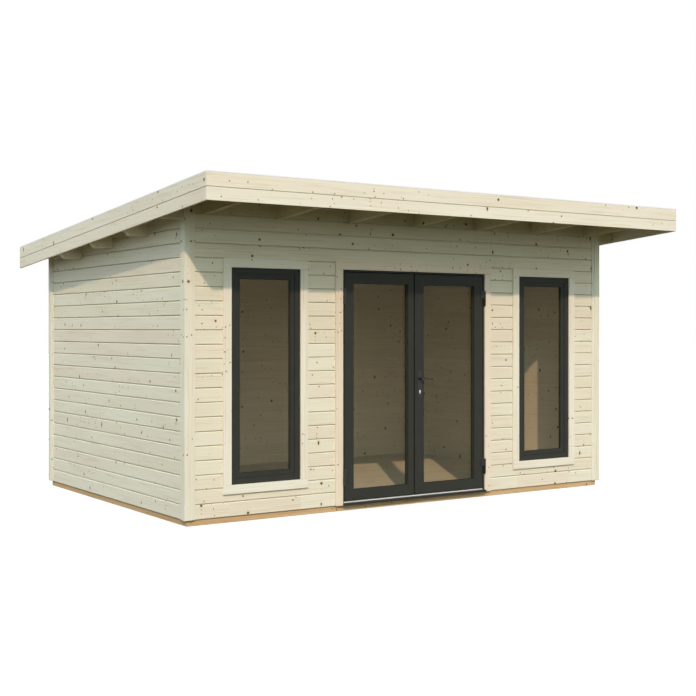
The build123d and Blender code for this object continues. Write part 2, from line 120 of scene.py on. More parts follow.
def lay_grain(shape):
    """Runs the grain along each timber's longest side, cut from its own place in the log."""
    shape.normal_update()
    grain = shape.loops.layers.float_vector.new("grain")
    shade = shape.verts.layers.float.new("shade")
    tone = shape.verts.layers.float.new("tone")
    for timber in timbers_of(shape):
        low, high = box_of(timber)
        size = high - low
        along, across, through = sorted(range(3), key=lambda axis: -size[axis])
        log_start = grain_chance.uniform(0, log_length)
        heart_side = grain_chance.uniform(-heart_side_reach, heart_side_reach)
        heart_depth = grain_chance.uniform(*heart_depths)
        own_shade = grain_chance.random()
        own_tone = grain_chance.random()
        for corner in timber:
            local = corner.co - (low + high) / 2
            for loop in corner.link_loops:
                edge_face = abs(loop.face.normal[across]) > edge_face_share
                wide, deep = (through, across) if edge_face else (across, through)
                loop[grain] = (local[along] + log_start, local[wide] + heart_side,
                               local[deep] + heart_depth)
            corner[shade] = own_shade
            corner[tone] = own_tone


def make_piece(shape, name, body, finish, edge=0.0, steps=2, stands_for=()):
    """Turns a shape into a finished piece on its body, with its edges rounded."""
    mesh = bpy.data.meshes.new(name)
    shape.to_mesh(mesh)
    shape.free()
    for spare in ("custom_normal", "sharp_edge", "sharp_face"):
        if spare in mesh.attributes:
            mesh.attributes.remove(mesh.attributes[spare])
    mesh.materials.clear()
    mesh.materials.append(finish)
    for face in mesh.polygons:
        face.use_smooth = edge > 0
        face.material_index = 0
    piece = bpy.data.objects.new(name, mesh)
    bpy.context.scene.collection.objects.link(piece)
    if edge > 0:
        rounding = piece.modifiers.new("rounded_edges", "BEVEL")
        rounding.width = edge
        rounding.segments = steps
        rounding.limit_method = "ANGLE"
        rounding.angle_limit = round_angle
        rounding.harden_normals = True
    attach(piece, body)
    if stands_for:
        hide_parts(*stands_for)


def timber_piece(node, name, body, finish, edge):
    """A timber that has its solid's shape, with rounded edges and its own grain."""
    shape = solid_of(node)
    lay_grain(shape)
    make_piece(shape, name, body, finish, edge, stands_for=[node])


def shader_node(tree, kind, inputs=(), **settings):
    """Adds one shader node with its settings, and links or sets its sockets."""
    made = tree.nodes.new("ShaderNode" + kind)
    for setting, value in settings.items():
        setattr(made, setting, value)
    for socket, value in dict(inputs).items():
        if isinstance(value, bpy.types.NodeSocket):
            tree.links.new(value, made.inputs[socket])
        else:
            made.inputs[socket].default_value = value
    return made


def number(tree, operation, *values):
    """One sum of numbers in a material."""
    return shader_node(tree, "Math", dict(enumerate(values)), operation=operation).outputs[0]


def stretch(tree, vector, amounts):
    """Scales a place in the wood by its own amount in each direction."""
    inputs = {0: vector, 1: amounts}
    return shader_node(tree, "VectorMath", inputs, operation="MULTIPLY").outputs[0]


def noise(tree, place, amounts, detail):
    """Soft chance values, drawn out by its own amount in each direction."""
    inputs = {"Vector": stretch(tree, place, amounts), "Scale": 1.0, "Detail": detail}
    return shader_node(tree, "TexNoise", inputs).outputs["Fac"]


def step_between(tree, value, start, end):
    """Rises smoothly from 0 at start to 1 at end."""
    inputs = {"Value": value, "From Min": start, "From Max": end}
    return shader_node(tree, "MapRange", inputs, interpolation_type="SMOOTHSTEP").outputs["Result"]


def faded(tree, value, start, end, share):
    """Rises smoothly from 0 at start to a share at end."""
    return number(tree, "MULTIPLY", step_between(tree, value, start, end), share)


def uneven(tree, value, middle, spread):
    """A number that varies around its middle."""
    return number(tree, "MULTIPLY_ADD", value, spread, middle - spread / 2)


def opaque(colour):
    """A colour with full cover, or a colour socket as it is."""
    return colour if isinstance(colour, bpy.types.NodeSocket) else (*colour, 1)


def tint(tree, share, first, second):
    """Mixes two colours by a share, on the sockets that the mix node keeps for colours."""
    inputs = {0: share, 6: opaque(first), 7: opaque(second)}
    return shader_node(tree, "Mix", inputs, data_type="RGBA").outputs[2]


def raise_relief(tree, surface, height, strength, depth):
    """Gives a surface its fine relief."""
    bump = shader_node(tree, "Bump", {"Height": height, "Strength": strength, "Distance": depth})
    tree.links.new(bump.outputs[0], surface.inputs["Normal"])


def new_material(name):
    """A material with its node tree and its Principled shader."""
    material = bpy.data.materials.new(name)
    material.use_nodes = True
    return material, material.node_tree, material.node_tree.nodes["Principled BSDF"]


def knot_marks(tree, place, wobble, share, pitch, least, spread):
    """Knots at chance places: how many knot sizes away the nearest one is, if it is there, and its age."""
    cell = shader_node(tree, "TexVoronoi", {"Vector": stretch(tree, place, (*pitch, 0.0)), "Scale": 1.0},
                       voronoi_dimensions="2D")
    middle = stretch(tree, cell.outputs["Position"], (1 / pitch[0], 1 / pitch[1], 0.0))
    away = shader_node(tree, "VectorMath", {0: place, 1: middle}, operation="SUBTRACT").outputs[0]
    away = shader_node(tree, "SeparateXYZ", {0: away}).outputs
    chance = shader_node(tree, "SeparateColor", {"Color": cell.outputs["Color"]}).outputs
    spike = number(tree, "GREATER_THAN", chance["Blue"], spike_knot_chance)
    squeeze = number(tree, "MULTIPLY_ADD", spike, spike_knot_squeeze, 1.0)
    across = number(tree, "MULTIPLY", away["Y"], squeeze)
    flat = shader_node(tree, "CombineXYZ", {"X": away["X"], "Y": across}).outputs[0]
    reach = shader_node(tree, "VectorMath", {0: flat}, operation="LENGTH").outputs["Value"]
    size = number(tree, "MULTIPLY_ADD", chance["Green"], spread, least)
    ragged = number(tree, "MULTIPLY", wobble, knot_wobble)
    sizes_away = number(tree, "ADD", number(tree, "DIVIDE", reach, size), ragged)
    present = number(tree, "LESS_THAN", chance["Red"], share)
    age = step_between(tree, chance["Blue"], start=0.02, end=0.3)
    return sizes_away, present, age


def growth_rings(tree, place, swell):
    """The dark late wood of the yearly rings, which bend where a knot swells them."""
    bend = shader_node(tree, "CombineXYZ", {"Z": number(tree, "MULTIPLY", swell, ring_bend)}).outputs[0]
    bent = shader_node(tree, "VectorMath", {0: place, 1: bend}, operation="ADD").outputs[0]
    inputs = {"Vector": stretch(tree, bent, ring_stretch), "Scale": 46.0, "Distortion": 14.0,
              "Detail": 2.0, "Detail Scale": 0.2, "Detail Roughness": 0.45}
    rings = shader_node(tree, "TexWave", inputs, wave_type="RINGS", rings_direction="X", wave_profile="SAW")
    return step_between(tree, rings.outputs["Fac"], start=0.45, end=1.0)


def draw_knots(tree, colour, ring, knots, rim_share):
    """Colours the knots in the wood: a faint halo, a rim, and a red core in a live knot or a dark one."""
    away, present, age = knots
    halo = faded(tree, away, start=4.5, end=1.2, share=present)
    rim = faded(tree, away, start=2.2, end=1.6, share=present)
    core = faded(tree, away, start=1.7, end=1.3, share=present)
    colour = tint(tree, number(tree, "MULTIPLY", halo, knot_halo_share), colour, ring)
    colour = tint(tree, number(tree, "MULTIPLY", rim, rim_share), colour, knot_rim)
    core_colour = tint(tree, age, knot_red, knot_dark)
    return tint(tree, number(tree, "MULTIPLY", core, knot_core_share), colour, core_colour)


def softwood(name, pale, warm, rosy, ring, knot_share, roughness=0.62, relief=0.35, gloss=0.2):
    """Sawn or planed softwood: growth rings that bend around knots, streaks, fine fibres and blotches."""
    material, tree, surface = new_material(name)
    place = shader_node(tree, "Attribute", attribute_name="grain").outputs["Vector"]
    shade = shader_node(tree, "Attribute", attribute_name="shade").outputs["Fac"]
    tone = shader_node(tree, "Attribute", attribute_name="tone").outputs["Fac"]

    wobble = noise(tree, place, amounts=(160.0, 160.0, 160.0), detail=1.0)
    crowd = noise(tree, place, amounts=(1.5, 7.0, 7.0), detail=0.0)
    pin_share = faded(tree, crowd, start=0.50, end=0.64, share=0.45)
    large = knot_marks(tree, place, wobble, knot_share, pitch=(2.4, 8.0), least=0.0030, spread=0.0065)
    pins = knot_marks(tree, place, wobble, pin_share, pitch=(11.0, 26.0), least=0.0016, spread=0.0026)
    swell = faded(tree, large[0], start=6.0, end=0.0, share=large[1])
    late_wood = growth_rings(tree, place, swell)
    fibre = noise(tree, place, amounts=(6.0, 420.0, 420.0), detail=2.0)
    streak = noise(tree, place, amounts=(2.2, 55.0, 55.0), detail=2.0)
    blotch = noise(tree, place, amounts=(1.1, 9.0, 9.0), detail=3.0)
    band = noise(tree, place, amounts=(0.7, 3.0, 3.0), detail=1.0)
    strong = step_between(tree, band, start=0.35, end=0.75)

    board_warmth = number(tree, "MULTIPLY", shade, shade_warmth)
    warmth = number(tree, "ADD", board_warmth, number(tree, "MULTIPLY", blotch, blotch_warmth))
    colour = tint(tree, number(tree, "SUBTRACT", warmth, warmth_start), pale, warm)
    colour = tint(tree, faded(tree, tone, start=0.4, end=1.0, share=0.8), colour, rosy)
    ring_strength = number(tree, "MULTIPLY_ADD", strong, strong_ring_share, faint_ring_share)
    colour = tint(tree, number(tree, "MULTIPLY", late_wood, ring_strength), colour, ring)
    colour = tint(tree, faded(tree, streak, start=0.48, end=0.78, share=0.45), colour, ring)
    colour = tint(tree, faded(tree, fibre, start=0.5, end=0.75, share=0.16), colour, ring)
    colour = draw_knots(tree, colour, ring, large, rim_share=0.7)
    colour = draw_knots(tree, colour, ring, pins, rim_share=0.5)
    tree.links.new(colour, surface.inputs["Base Color"])

    tree.links.new(uneven(tree, fibre, roughness, spread=0.22), surface.inputs["Roughness"])
    surface.inputs["Specular IOR Level"].default_value = gloss
    fibres_up = number(tree, "MULTIPLY", fibre, fibre_height)
    height = number(tree, "ADD", fibres_up, number(tree, "MULTIPLY", late_wood, ring_height))
    raise_relief(tree, surface, height, relief, grain_depth)
    return material


brown_timber = softwood("brown_treated_timber", beam_pale, beam_brown, beam_rosy, beam_ring, beam_knots,
                        beam_roughness, beam_relief)
for side in ("front", "back", "left", "right"):
    timber_piece(f"base_beam_{side}", f"{side}_base_timber", "house", brown_timber,
                 beam_edge)

# Floor: planed tongued boards, laid from the left wall to the right one on the base beams.
# They are cut out around the corner posts and the door frame, and stay untreated.
floor_cover = 0.0945
floor_gap = 0.0008
floor_chamfers = (0.0012, 0.0012)
floor_pale = (0.72, 0.76, 0.655)
floor_warm = (0.67, 0.67, 0.54)
floor_rosy = (0.70, 0.68, 0.56)
floor_ring = (0.54, 0.43, 0.28)
floor_knots = 0.4
floor_roughness = 0.6
x_axis, y_axis, z_axis = range(3)
touch = 0.000005
level_slack = touch * 4
board_slack = touch * 10
straight_share = 0.99
back_chamfer_share = 0.15
tongue_depth_share = 0.36
tongue_edge = 0.0004
tongue_fill_share = 0.95
shortest_tongue = 0.1


def cut_away(shape, point, outward):
    """Takes off what lies beyond a plane, and closes the cut."""
    everything = shape.verts[:] + shape.edges[:] + shape.faces[:]
    cut = bmesh.ops.bisect_plane(shape, geom=everything, dist=touch, plane_co=point, plane_no=outward,
                                 clear_outer=True)
    rim = [found for found in cut["geom_cut"] if isinstance(found, bmesh.types.BMEdge)]
    bmesh.ops.holes_fill(shape, edges=rim, sides=0)
    return shape


def lies_at(corner, axis, place):
    """Says whether a corner lies at a place along an axis."""
    return abs(corner.co[axis] - place) < level_slack


def thickness_axis(axis, along):
    """The axis through a board's thickness, from the one that boards follow each other on and its length."""
    return x_axis + y_axis + z_axis - axis - along


def one_board(solid, axis, along, face, low, high, chamfers):
    """One tongued board cut from a wall, floor or roof: chamfered along its joints, little on its back."""
    board = solid.copy()
    through = thickness_axis(axis, along)
    for place, outward in ((low, -1), (high, 1)):
        point = Vector((0, 0, 0))
        point[axis] = place
        normal = Vector((0, 0, 0))
        normal[axis] = outward
        cut_away(board, point, normal)
    for place, chamfer in zip((low, high), chamfers):
        joint = []
        for edge in board.edges:
            first, second = edge.verts
            level = lies_at(first, axis, place) and lies_at(second, axis, place)
            if level and abs((second.co - first.co).normalized()[along]) > straight_share:
                joint.append((edge, first.co[through] * face))
        if not joint:
            continue
        depths = [depth for edge, depth in joint]
        middle = (min(depths) + max(depths)) / 2
        shown = [edge for edge, depth in joint if depth > middle]
        hidden = [edge for edge, depth in joint if depth <= middle]
        for edges, width in ((shown, chamfer), (hidden, chamfer * back_chamfer_share)):
            bmesh.ops.bevel(board, geom=edges, offset=width, offset_type="OFFSET", segments=1,
                            affect="EDGES", clamp_overlap=True)
    return board


def add_tongue(board, axis, along, face, high, reach):
    """Raises a tongue from the back of a board's upper edge into the next board."""
    through = thickness_axis(axis, along)
    tops = []
    for top in board.faces:
        if all(lies_at(corner, axis, high) for corner in top.verts):
            places = [corner.co[along] for corner in top.verts]
            if max(places) - min(places) > shortest_tongue:
                tops.append(top)
    for top in tops:
        depths = [corner.co[through] * face for corner in top.verts]
        tongue_face = max(depths) - (max(depths) - min(depths)) * tongue_depth_share
        bmesh.ops.inset_region(board, faces=[top], thickness=tongue_edge, use_even_offset=True)
        for corner in top.verts:
            corner.co[axis] = high
            corner.co[through] = min(corner.co[through] * face, tongue_face) * face
        raised = bmesh.ops.extrude_face_region(board, geom=[top])
        bmesh.ops.delete(board, geom=[top], context="FACES_ONLY")
        for found in raised["geom"]:
            if isinstance(found, bmesh.types.BMVert):
                found.co[axis] += reach


def boarded(node, name, finish, axis, along, face, start, cover, gap, chamfers):
    """A wall, floor or roof as the boards that it is laid from, with its grooves on the face that shows."""
    solid = solid_of(node)
    places = [corner.co[axis] for corner in solid.verts]
    first = math.floor((min(places) + board_slack - start) / cover)
    last = math.ceil((max(places) - board_slack - start) / cover)
    boards = bmesh.new()
    for index in range(first, last):
        low = start + index * cover
        gap_here = gap if low > min(places) + board_slack else 0.0
        board = one_board(solid, axis, along, face, low + gap_here, low + cover, chamfers)
        add_tongue(board, axis, along, face, low + cover, gap * tongue_fill_share)
        bmesh.ops.recalc_face_normals(board, faces=board.faces)
        sheet = bpy.data.meshes.new("board")
        board.to_mesh(sheet)
        board.free()
        boards.from_mesh(sheet)
        bpy.data.meshes.remove(sheet)
    solid.free()
    lay_grain(boards)
    make_piece(boards, name, "house", finish, stands_for=[node])


floor_timber = softwood("planed_floor_timber", floor_pale, floor_warm, floor_rosy, floor_ring, floor_knots,
                        floor_roughness)
floor_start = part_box("floor_deck")[0].y
boarded("floor_deck", "floor_boards", floor_timber, axis=y_axis, along=x_axis, face=1,
        start=floor_start, cover=floor_cover, gap=floor_gap, chamfers=floor_chamfers)

# Corner posts: square planed posts that stand on the base beams and hold the ends of the wall boards.
# Their outer faces step down to a thin strip that laps the boards; their tops follow the roof's slope.
post_edge = 0.003
post_pale = (0.855, 0.865, 0.770)
post_warm = (0.810, 0.790, 0.650)
post_knots = 0.45
spruce_rosy = (0.830, 0.765, 0.640)
spruce_ring = (0.655, 0.560, 0.400)
post_timber = softwood("planed_post_timber", post_pale, post_warm, spruce_rosy, spruce_ring, post_knots)
for end in ("front", "back"):
    for side in ("left", "right"):
        timber_piece(f"corner_post_{end}_{side}", f"{end}_{side}_post", "house", post_timber,
                     post_edge)

# Wall boards: planed tongued boards laid level on the base beams between the corner posts.
# Each is chamfered along its edges, so that a groove shows at every joint, and its tongue goes up into the
# next board. The top ones are cut to the roof's slope and around the rafters.
wall_cover = 0.113
wall_gap = 0.0045
wall_chamfers = (0.004, 0.007)
wall_pale = (0.850, 0.845, 0.715)
wall_warm = (0.810, 0.765, 0.610)
wall_knots = 0.5
wall_timber = softwood("planed_wall_timber", wall_pale, wall_warm, spruce_rosy, spruce_ring, wall_knots)
wall_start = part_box("left_wall")[0].z
front_walls = ["front_wall_head"]
for side in ("left", "right"):
    front_walls.append(f"front_wall_{side}_end")
    front_walls.append(f"front_wall_{side}_middle")
    front_walls.append(f"front_wall_below_{side}_window")
walls = [(node, x_axis, -1) for node in front_walls]
walls += [("back_wall", x_axis, 1), ("left_wall", y_axis, -1), ("right_wall", y_axis, 1)]
for node, along, face in walls:
    boarded(node, f"{node}_boards", wall_timber, z_axis, along, face, start=wall_start,
            cover=wall_cover, gap=wall_gap, chamfers=wall_chamfers)

# Rafters and outriggers: planed beams on edge that carry the roof boards from the front to the back.
# The outriggers are short ones that reach out over the side walls, with their lower ends cut on a slant.
rafter_edge = 0.003
rafter_count = 7
rafter_pale = (0.770, 0.730, 0.570)
rafter_warm = (0.725, 0.650, 0.470)
rafter_rosy = (0.745, 0.660, 0.500)
rafter_knots = 0.45
roof_timber = softwood("planed_roof_timber", rafter_pale, rafter_warm, rafter_rosy, spruce_ring,
                       rafter_knots, gloss=0.0)
for index in range(1, rafter_count + 1):
    timber_piece(f"rafter_{index}", f"roof_rafter_{index}", "house", roof_timber,
                 rafter_edge)
for side in ("left", "right"):
    timber_piece(f"outriggers_{side}", f"{side}_outrigger_beams", "house", roof_timber,
                 rafter_edge)

# Roof boards: tongued boards nailed across the rafters, with their grooved face down.
# They show under the overhangs and from inside the room.
roof_cover = 0.0955
roof_gap = 0.001
roof_chamfers = (0.003, 0.003)
roof_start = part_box("roof_deck")[0].y
boarded("roof_deck", "roof_boards", roof_timber, axis=y_axis, along=x_axis, face=-1,
        start=roof_start, cover=roof_cover, gap=roof_gap, chamfers=roof_chamfers)

# Roof covering: mineral felt in wide strips across the roof boards, dark grey and gritty.
# Each strip is nailed along its upper edge and bonded over the strip below it.
felt_cover = 0.99
felt_gap = 0.001
felt_chamfers = (0.0012, 0.0012)
felt_dark = (0.050, 0.051, 0.053)
felt_grit = (0.150, 0.152, 0.155)
felt_roughness = 0.92
grit_scale = 420.0
grit_least_share = 0.3


def mineral_felt(name):
    """Bitumen felt with a layer of fine slate grit, a little uneven in tone."""
    material, tree, surface = new_material(name)
    place = shader_node(tree, "TexCoord").outputs["Object"]
    grit = shader_node(tree, "TexVoronoi", {"Vector": place, "Scale": grit_scale}).outputs
    cloud = noise(tree, place, amounts=(2.4, 2.4, 2.4), detail=4.0)
    grain_tone = shader_node(tree, "SeparateColor", {"Color": grit["Color"]}).outputs["Red"]
    share = number(tree, "MULTIPLY", grain_tone, number(tree, "ADD", cloud, grit_least_share))
    tree.links.new(tint(tree, share, felt_dark, felt_grit), surface.inputs["Base Color"])
    surface.inputs["Roughness"].default_value = felt_roughness
    raise_relief(tree, surface, grit["Distance"], strength=0.5, depth=0.001)
    return material


felt = mineral_felt("mineral_roof_felt")
felt_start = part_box("roof_covering")[0].y
boarded("roof_covering", "roof_felt", felt, axis=y_axis, along=x_axis, face=1,
        start=felt_start, cover=felt_cover, gap=felt_gap, chamfers=felt_chamfers)

# Fascias: planed boards nailed along the roof edges, a pair one above the other at the front and the sides,
# and one at the back. A tongue on the lower board closes the groove between a pair. A folded strip of pale
# metal caps the upper board and holds down the edge of the felt.
fascia_edge = 0.002
fascia_pale = (0.850, 0.825, 0.715)
fascia_warm = (0.815, 0.755, 0.615)
fascia_knots = 0.5
fascia_groove = 0.004
fascia_tongue_setback = 0.010
fascia_tongue_backing = 0.003
fascia_tongue_root = 0.0005
fascia_tongue_end_share = 0.001
capping_height = 0.010
capping_gap = 0.0008
capping_edge = 0.0015
capping_bright = (0.86, 0.86, 0.85)
capping_dull = (0.76, 0.76, 0.75)
capping_roughness = 0.5
capping_lines = (9.0, 9.0, 500.0)
capping_bare = 0.5
roof_slope = math.radians(4.5)


def drawn_metal(name, bright, dull, roughness, scratch, bare=1.0):
    """Metal, bare or thinly coated, with fine lines along the way it was drawn or brushed."""
    material, tree, surface = new_material(name)
    place = shader_node(tree, "TexCoord").outputs["Object"]
    lines = noise(tree, place, scratch, detail=3.0)
    tree.links.new(tint(tree, lines, bright, dull), surface.inputs["Base Color"])
    surface.inputs["Metallic"].default_value = bare
    tree.links.new(uneven(tree, lines, roughness, spread=0.2), surface.inputs["Roughness"])
    raise_relief(tree, surface, lines, strength=0.15, depth=0.0002)
    return material


def close_groove(boards, foot, normal, outward):
    """Raises a tongue from the top of the lower board, behind the groove."""
    boards.normal_update()
    for top in boards.faces[:]:
        below = (foot - top.calc_center_median()).dot(normal)
        if top.normal.dot(normal) < straight_share or below < fascia_groove:
            continue
        copied = bmesh.ops.duplicate(boards, geom=[top, *top.edges, *top.verts])["geom"]
        root = next(found for found in copied if isinstance(found, bmesh.types.BMFace))
        centre = root.calc_center_median()
        for corner in root.verts:
            outer = (corner.co - centre).dot(outward) > 0
            shift = -fascia_tongue_setback if outer else fascia_tongue_backing
            corner.co += (centre - corner.co) * fascia_tongue_end_share
            corner.co += outward * shift - normal * fascia_tongue_root
        raised = bmesh.ops.extrude_face_region(boards, geom=[root], use_keep_orig=True)["geom"]
        for found in raised:
            if isinstance(found, bmesh.types.BMVert):
                found.co += normal * (fascia_tongue_root + fascia_groove * tongue_fill_share)
    bmesh.ops.recalc_face_normals(boards, faces=boards.faces)


fascia_timber = softwood("planed_fascia_timber", fascia_pale, fascia_warm, spruce_rosy, spruce_ring,
                         fascia_knots)
capping_metal = drawn_metal("pale_capping_metal", capping_bright, capping_dull, capping_roughness,
                            capping_lines, capping_bare)
upright = Vector((0, 0, 1))
square_to_roof = Vector((0, math.sin(roof_slope), math.cos(roof_slope)))
fascia_sides = (("front", upright, (0, -1, 0)), ("back", upright, (0, 1, 0)),
                ("left", square_to_roof, (-1, 0, 0)), ("right", square_to_roof, (1, 0, 0)))
for side, normal, outward in fascia_sides:
    boards = solid_of(f"fascia_{side}")
    low, high = box_of(boards.verts)
    capping_foot = Vector((0, low.y, high.z)) - normal * capping_height
    capping = cut_away(boards.copy(), capping_foot, -normal)
    cut_away(boards, capping_foot - normal * capping_gap, normal)
    lay_grain(boards)
    close_groove(boards, capping_foot, normal, Vector(outward))
    make_piece(boards, f"{side}_fascia_boards", "house", fascia_timber, fascia_edge,
               stands_for=[f"fascia_{side}"])
    make_piece(capping, f"{side}_fascia_capping", "house", capping_metal, capping_edge)

# Casings: planed boards nailed flat on the wall boards around the doorway and the windows.
# The boards across run over the ends of the upright ones.
casing_edge = 0.0025
casing_pale = (0.885, 0.885, 0.785)
casing_warm = (0.855, 0.840, 0.720)
casing_rosy = (0.865, 0.815, 0.710)
casing_knots = 0.2
door_casing_pale = (0.865, 0.775, 0.650)
door_casing_warm = (0.840, 0.735, 0.595)
door_casing_rosy = (0.845, 0.715, 0.590)
casing_timber = softwood("planed_casing_timber", casing_pale, casing_warm, casing_rosy, spruce_ring,
                         casing_knots)
door_casing_timber = softwood("planed_door_casing_timber", door_casing_pale, door_casing_warm,
                              door_casing_rosy, spruce_ring, casing_knots)
for opening, finish in (("door", door_casing_timber), ("left_window", casing_timber),
                        ("right_window", casing_timber)):
    timber_piece(f"{opening}_casing", f"{opening}_casing_boards", "house", finish,
                 casing_edge)

# Dark joinery: the door frame and the window frames, of laminated timber sprayed with anthracite paint.
# Their bars are screwed into the openings behind the casings.
joinery_edge = 0.002
paint_dark = (0.0315, 0.0332, 0.0285)
paint_worn = (0.0430, 0.0455, 0.0400)
paint_roughness = 0.45
paint_gloss = 0.08


def satin_paint(name, dark, worn, roughness, gloss):
    """Sprayed satin paint: faintly cloudy, with the fine ripple of a spray coat."""
    material, tree, surface = new_material(name)
    place = shader_node(tree, "TexCoord").outputs["Object"]
    cloud = noise(tree, place, amounts=(6.0, 6.0, 6.0), detail=4.0)
    ripple = noise(tree, place, amounts=(420.0, 420.0, 420.0), detail=2.0)
    tree.links.new(tint(tree, cloud, dark, worn), surface.inputs["Base Color"])
    tree.links.new(uneven(tree, cloud, roughness, spread=0.16), surface.inputs["Roughness"])
    surface.inputs["Specular IOR Level"].default_value = gloss
    raise_relief(tree, surface, ripple, strength=0.12, depth=0.0004)
    return material


def painted_piece(node, name, body, finish, edge=joinery_edge, steps=2):
    """A painted or metal piece with its solid's shape and rounded edges."""
    make_piece(solid_of(node), name, body, finish, edge, steps, stands_for=[node])


anthracite = satin_paint("anthracite_joinery_paint", paint_dark, paint_worn, paint_roughness, paint_gloss)
painted_piece("door_frame", "door_frame_bars", "house", anthracite)
for side in ("left", "right"):
    painted_piece(f"{side}_window_frame", f"{side}_window_bars", "house", anthracite)

# Threshold: an extruded aluminium rail screwed on the sill, which the leaves close above.
# It is clear anodised, with the fine lines of its die along it.
threshold_edge = 0.002
rail_bright = (0.94, 0.94, 0.93)
rail_dull = (0.86, 0.87, 0.86)
rail_roughness = 0.38
rail_lines = (12.0, 900.0, 900.0)
rail_bare = 0.15
rail_metal = drawn_metal("anodised_aluminium", rail_bright, rail_dull, rail_roughness, rail_lines, rail_bare)
painted_piece("door_threshold", "threshold_rail", "house", rail_metal, threshold_edge)

# Leaves: two painted door leaves, each with two stiles and two rails around one tall pane.
# They are of the same laminated timber as the frame, and hang on its jambs.
for side in ("left", "right"):
    painted_piece(f"{side}_leaf_frame", f"{side}_leaf_bars", f"{side}_leaf", anthracite)

# Panes: clear glazing in the windows and in the leaves, each one sheet in its opening.
# A painted bead, mitred at the corners, holds it on each face.
glass_tint = (0.945, 0.918, 0.868, 1)
glass_sheen = (0.95, 0.97, 0.96, 1)
glass_roughness = 0.02
mirror_least = 0.010
grazing_blend = 0.5
grazing_power = 5.0
outer_bead = ((0.0, 0.0), (0.003, 0.0), (0.003, 0.003), (0.0012, 0.009), (0.0, 0.009))
inner_bead = ((0.0, 0.0), (0.003, 0.0), (0.003, 0.002), (0.0015, 0.0055), (0.0, 0.0055))
bead_edge = 0.001


def clear_glass(name):
    """Clear glass that lets light through and mirrors more of the light that grazes it."""
    material, tree, surface = new_material(name)
    tree.nodes.remove(surface)
    through = shader_node(tree, "BsdfTransparent", {"Color": glass_tint})
    mirror = shader_node(tree, "BsdfGlossy", {"Color": glass_sheen, "Roughness": glass_roughness})
    facing = shader_node(tree, "LayerWeight", {"Blend": grazing_blend}).outputs["Facing"]
    grazing = number(tree, "POWER", facing, grazing_power)
    share = number(tree, "MULTIPLY_ADD", grazing, 1 - mirror_least, mirror_least)
    both = shader_node(tree, "MixShader", {0: share, 1: through.outputs[0], 2: mirror.outputs[0]})
    tree.links.new(both.outputs[0], tree.nodes["Material Output"].inputs["Surface"])
    return material


def join_rows(shape, rows):
    """Joins each closed row of corners to the next one with faces."""
    for row, following in zip(rows, rows[1:]):
        for index in range(len(row)):
            beside = (index + 1) % len(row)
            shape.faces.new((row[index], row[beside], following[beside], following[index]))


def bead_around(shape, low, high, face, outward, profile):
    """A bead around a pane, from its profile as steps in from the edge and out from the glass."""
    rows = []
    for inset, proud in profile:
        place = face + outward * proud
        left, right = low.x + inset, high.x - inset
        bottom, top = low.z + inset, high.z - inset
        corners = ((left, bottom), (right, bottom), (right, top), (left, top))
        rows.append([shape.verts.new((x, place, z)) for x, z in corners])
    join_rows(shape, rows + rows[:1])


pane = clear_glass("clear_pane_glass")
for opening, body in (("left_window", "house"), ("right_window", "house"), ("left_leaf", "left_leaf"),
                      ("right_leaf", "right_leaf")):
    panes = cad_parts[f"{opening}_glass"].data.materials
    panes.clear()
    panes.append(pane)
    low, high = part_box(f"{opening}_glass")
    beads = bmesh.new()
    bead_around(beads, low, high, low.y, -1, outer_bead)
    bead_around(beads, low, high, high.y, 1, inner_bead)
    bmesh.ops.recalc_face_normals(beads, faces=beads.faces)
    make_piece(beads, f"{opening}_glazing_beads", body, anthracite, bead_edge)

# Door hardware: lift-off hinges, a narrow lock plate on each face, and the lever, all coated dark.
# Plates and hinges are held by small countersunk screws.
hardware_edge = 0.0012
lever_edge = 0.003
lever_edge_steps = 3
coat_dark = (0.014, 0.013, 0.015)
coat_worn = (0.024, 0.023, 0.026)
coat_roughness = 0.36
coat_gloss = 0.4
screw_sides = 12
screw_profile = ((1.0, 0.0), (0.93, 0.0008), (0.45, 0.0008), (0.38, 0.0001))
hinge_screw = 0.0032
hinge_screw_shares = (0.25, 0.75)
hinge_plate_half = 0.0075
hinge_plate_proud = 0.005
plate_screw = 0.0036
plate_screw_edge = 0.012


def screw_heads(name, body, finish, places, radius):
    """Countersunk screw heads, each place an x, y, z and the way it faces, with a hole for the driver."""
    heads = bmesh.new()
    for x, y, z, outward in places:
        rows = []
        for share, proud in screw_profile:
            row = []
            for index in range(screw_sides):
                turn = math.tau * index / screw_sides
                row.append(heads.verts.new((x + math.cos(turn) * radius * share, y + outward * proud,
                                            z + math.sin(turn) * radius * share)))
            rows.append(row)
        join_rows(heads, rows)
        heads.faces.new(rows[-1])
        heads.faces.new(rows[0])
    bmesh.ops.recalc_face_normals(heads, faces=heads.faces)
    make_piece(heads, name, body, finish)


dark_coat = satin_paint("dark_coated_metal", coat_dark, coat_worn, coat_roughness, coat_gloss)
painted_piece("frame_hinges", "jamb_hinge_halves", "house", dark_coat, hardware_edge)
for side, inward in (("left", 1), ("right", -1)):
    node = f"{side}_leaf_hinges"
    halves = solid_of(node)
    leaf_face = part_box(f"{side}_leaf_frame")[0].y
    places = []
    for half in timbers_of(halves):
        low, high = box_of(half)
        end = high.x if inward > 0 else low.x
        for share in hinge_screw_shares:
            places.append((end - inward * hinge_plate_half, leaf_face - hinge_plate_proud,
                           low.z + (high.z - low.z) * share, -1))
    halves.free()
    painted_piece(node, f"{side}_leaf_hinge_halves", f"{side}_leaf", dark_coat, hardware_edge)
    screw_heads(f"{side}_hinge_screws", f"{side}_leaf", dark_coat, places, hinge_screw)
painted_piece("lock_plates", "lock_cover_plates", "right_leaf", dark_coat, hardware_edge)
low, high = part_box("lock_plates")
places = []
for z in (low.z + plate_screw_edge, high.z - plate_screw_edge):
    places.append(((low.x + high.x) / 2, low.y, z, -1))
    places.append(((low.x + high.x) / 2, high.y, z, 1))
